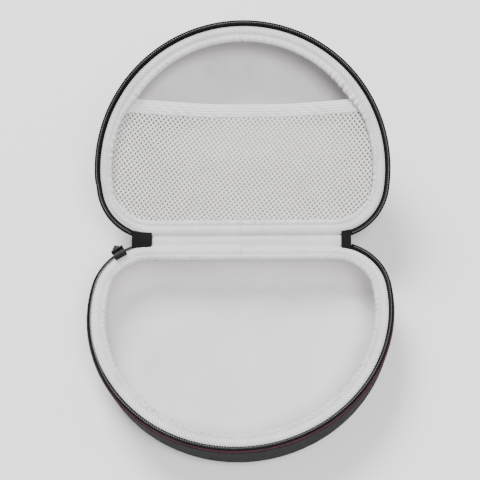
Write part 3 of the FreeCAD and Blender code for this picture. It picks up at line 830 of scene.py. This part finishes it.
def make_end_tab(side):
    """Black folded tab over one end of the zipper, from rim to rim."""
    edges = {"left": (-78.6 * MM, -64.2 * MM), "right": (70.6 * MM, 77.4 * MM)}[side]
    feet = [(HINGE_DISTANCE - 6.5 * MM, 0.8 * MM), (HINGE_DISTANCE - 4.2 * MM, 1.3 * MM)]
    tab = hinge_sheet(side + "_zipper_tab", *edges, feet, 0.9 * MM, 0.1 * MM, 1.0 * MM, 8, 16, 17)
    bevel = tab.modifiers.new("edges", "BEVEL")
    bevel.width = 0.3 * MM
    bevel.segments = 2
    finish_piece(tab, "black_cloth", None, ["base_%s_end_tab" % side, "lid_%s_end_tab" % side])
    blend_over_hinge(tab)


# ---------------------------------------------------------------- pocket
def pocket_drop(x, reach):
    """Height of the net and its band under the rim plane: taut, with a little give."""
    give = 0.9 * MM * np.cos(np.clip(x / (95 * MM), -1, 1) * math.pi / 2)
    ripple = 0.22 * MM * uneven(x * 55 + reach * 25, 31, 5, 1, 3)
    return -MESH_DROP - give + ripple


def band_edge(x, share):
    """Reach of the elastic's edges: 0 is the one over the net and 1 the one at the mouth."""
    across = x / (80 * MM)
    # it sags in the middle and is sewn in a little higher at its left end
    low = (87.1 + 3.6 * across ** 2 - 1.1 * across) * MM
    high = (96.6 + 4.5 * across ** 2 - 1.55 * across) * MM
    return low + (high - low) * share


def lid_points(x, reach, height):
    """Points of the lid from x in the case's frame, reach from the hinge edge, and height."""
    return np.stack([-x, HINGE_DISTANCE - reach, height], -1)


def inside_outline(x, y, inset):
    """Whether points lie inside the outline moved inwards."""
    front = np.hypot(x, y) <= FRONT_RADIUS - inset
    back = y <= HINGE_DISTANCE - inset
    in_corner = (np.abs(x) > CORNER_X) & (y > CORNER_Y)
    corner = np.hypot(np.abs(x) - CORNER_X, y - CORNER_Y) <= CORNER_RADIUS - inset
    return front & back & (~in_corner | corner)


def turned(x, y, angle):
    """Turns plan positions about the origin."""
    return (x * math.cos(angle) - y * math.sin(angle), x * math.sin(angle) + y * math.cos(angle))


def make_pocket_net():
    """Knitted net: rows of staggered openings between rounded strands."""
    pitch_x = 3.45 * MM
    pitch_y = 4.1 * MM
    skew = math.radians(-7.5)
    columns = int(2 * FRONT_RADIUS / pitch_x) + 2
    rows = int(MESH_TOP / pitch_y) + 3
    points = []
    faces = []
    index_of = {}

    def corner(i, j):
        if (i, j) not in index_of:
            index_of[i, j] = len(points)
            points.append((i, j))
        return index_of[i, j]

    # a square lattice turned by 45 degrees: each cell is 3 by 3 quads with an open middle
    most = columns + rows
    for a in range(-most, most):
        for b in range(-most, most):
            centre_x, reach = turned((a - b) * pitch_x / 2, (a + b) * pitch_y / 2, skew)
            if reach < 6 * MM or reach > MESH_TOP + 3 * MM or abs(centre_x) > FRONT_RADIUS:
                continue
            if not inside_outline(centre_x, HINGE_DISTANCE - reach, POCKET_INSET):
                continue
            for i in range(3):
                for j in range(3):
                    if i == 1 and j == 1:
                        continue
                    quad = ((0, 0), (1, 0), (1, 1), (0, 1))
                    faces.append([corner(3 * a + i + di, 3 * b + j + dj) for di, dj in quad])
    grid = np.array(points, dtype=float)
    whole = np.floor(grid / 3)
    part = grid / 3 - whole
    # a strand takes this share of a cell on each side, and the opening takes the rest
    strand = 0.175
    part = np.where(np.isclose(part, 1 / 3), strand, np.where(np.isclose(part, 2 / 3), 1 - strand, part))
    lattice = whole + part - 0.5
    x, reach = turned((lattice[:, 0] - lattice[:, 1]) * pitch_x / 2,
                      (lattice[:, 0] + lattice[:, 1]) * pitch_y / 2, skew)
    uvs = np.stack([x, reach], -1)
    stretched = reach + (band_edge(x, 0) - MESH_TOP) * np.clip(reach / MESH_TOP, 0, 1.1)
    height = pocket_drop(x, reach)
    net = new_object("pocket_net", lid_points(x, stretched, height), faces, uvs)
    net.data.transform(half_matrix("lid"))
    thicken(net, 0.6 * MM, 0)
    subdivide(net, 1)
    finish_piece(net, "mesh", "lid", ["pocket_mesh"])


def make_elastic_band():
    """Ribbed elastic along the pocket's mouth, with slight uneven ripples along it."""
    columns = 260
    rows = 37
    share = np.linspace(0, 1, rows)
    ribs = 0.4 * MM * np.abs(np.sin(share * math.pi * 5))
    edge = np.sin(share * math.pi) ** 0.35
    half_width = np.sqrt((FRONT_RADIUS - POCKET_INSET) ** 2
                         - (HINGE_DISTANCE - MESH_TOP - share * BAND_HEIGHT) ** 2)
    grid_x = np.linspace(-1, 1, columns)[:, None] * half_width[None, :]
    reach = band_edge(grid_x, share[None, :]) + 0.08 * MM * uneven(grid_x * 60, 12, 4, 1, 3)
    front = pocket_drop(grid_x, MESH_TOP) + (0.8 * MM + ribs)[None, :] * edge[None, :]
    front = front + 0.18 * MM * uneven(grid_x * 220 + share[None, :] * 3, 14, 6, 1, 4) * edge[None, :]
    back = front - 0.9 * MM * edge[None, :] - 0.2 * MM
    points = np.concatenate([lid_points(grid_x, reach, front).reshape(-1, 3),
                             lid_points(grid_x, reach, back).reshape(-1, 3)])
    count = columns * rows
    faces = [tuple(reversed(face)) for face in grid_faces(columns, rows)]
    faces += grid_faces(columns, rows, first=count)
    border = list(range(rows))
    border += [column * rows + rows - 1 for column in range(1, columns)]
    border += [(columns - 1) * rows + row for row in reversed(range(rows - 1))]
    border += [column * rows for column in reversed(range(1, columns - 1))]
    for here, there in zip(border, border[1:] + border[:1]):
        faces.append((here, there, there + count, here + count))
    uvs = np.concatenate([np.stack([grid_x, reach], -1).reshape(-1, 2)] * 2)
    band = new_object("pocket_band", points, faces, uvs)
    band.data.transform(half_matrix("lid"))
    finish_piece(band, "elastic", "lid", ["pocket_elastic_band"])


# ---------------------------------------------------------------- slider and pull
def dress_solid(node, material, rounding=0.0):
    """A solid that keeps its shape gets its finish and, where it shows, rounded edges."""
    obj = frame["nodes"][node]
    obj.data.materials.clear()
    obj.data.materials.append(MATERIALS[material])
    if rounding:
        bevel = obj.modifiers.new("rounded_edges", "BEVEL")
        bevel.width = rounding
        bevel.segments = 3


# ---------------------------------------------------------------- stage
def make_stage():
    """Pale floor under the case."""
    reach = 3.0
    # a little lower than the cloth that rests on it, so that the two faces don't coincide
    level = -0.2 * MM
    corners = [(-reach, -reach, level), (reach, -reach, level),
               (reach, reach, level), (-reach, reach, level)]
    floor = new_object("floor", corners, [(0, 1, 2, 3)], smooth=False)
    shader = Shader("pale_floor", (0.86, 0.86, 0.86), 0.9)
    shader.color(shader.mix(shader.noise(3, 2), (0.85, 0.85, 0.85), (0.88, 0.88, 0.88)))
    floor.data.materials.append(shader.material)


def add_area_light(name, place, target, size, power):
    """Round soft light that faces a point."""
    light = bpy.data.lights.new(name, "AREA")
    light.shape = "DISK"
    light.size = size
    light.energy = power
    obj = bpy.data.objects.new(name, light)
    obj.location = place
    obj.rotation_euler = (Vector(target) - Vector(place)).to_track_quat("-Z", "Y").to_euler()
    bpy.context.scene.collection.objects.link(obj)


def make_lights():
    """White surroundings, a key light from behind and above, and a weaker fill from the front."""
    world = bpy.data.worlds.new("studio")
    bpy.context.scene.world = world
    world.use_nodes = True
    world.node_tree.nodes["Background"].inputs["Color"].default_value = (1, 1, 1, 1)
    world.node_tree.nodes["Background"].inputs["Strength"].default_value = 0.42
    middle = (0, 0.06, 0.04)
    add_area_light("key", (-0.4, 0.8, 1.35), middle, 0.8, 36)
    add_area_light("fill", (0.35, -0.6, 1.4), middle, 0.7, 28)


def make_camera():
    """View from the front and above, a little from the right, with the hinge line level."""
    distance = 0.7
    elevation = math.radians(57.9)
    azimuth = math.radians(-8.2)
    roll = math.radians(-7.3)
    target = Vector((-0.0009, HINGE_DISTANCE, HINGE[2]))
    ahead = Vector((math.sin(azimuth) * math.cos(elevation), math.cos(azimuth) * math.cos(elevation),
                    -math.sin(elevation)))
    right = ahead.cross(Vector((0, 0, 1))).normalized()
    up = right.cross(ahead)
    right, up = (right * math.cos(roll) + up * math.sin(roll),
                 up * math.cos(roll) - right * math.sin(roll))
    width_in_view = 339.943 * MM
    camera = bpy.data.cameras.new("camera")
    camera.sensor_width = 36
    camera.lens = camera.sensor_width * distance / width_in_view
    obj = bpy.data.objects.new("camera", camera)
    rotation = Matrix((right, up, -ahead)).transposed()
    obj.matrix_world = Matrix.Translation(target - ahead * distance) @ rotation.to_4x4()
    bpy.context.scene.collection.objects.link(obj)
    bpy.context.scene.camera = obj


# ---------------------------------------------------------------- the case
make_camera()
for number, half in enumerate(HALVES):
    make_cover(half)
    make_lining(half)
    make_rim_binding(half, 60 + 10 * number)
    make_binding_stitches(half)
    make_piping(half)
    make_zipper_tape(half)
    make_zipper_coil(half)
    make_coil_thread_glints(half)
make_inner_hinge_cloth()
make_outer_hinge_cloth()
make_end_tab("left")
make_end_tab("right")
make_pocket_net()
make_elastic_band()
for half in HALVES:
    dress_solid(half + "_foam_shell", "foam")
dress_solid("zipper_slider", "slider_metal", 0.3 * MM)
dress_solid("zipper_pull", "slider_metal", 0.2 * MM)
dress_solid("pull_grip", "grip", 0.4 * MM)
make_stage()
make_lights()
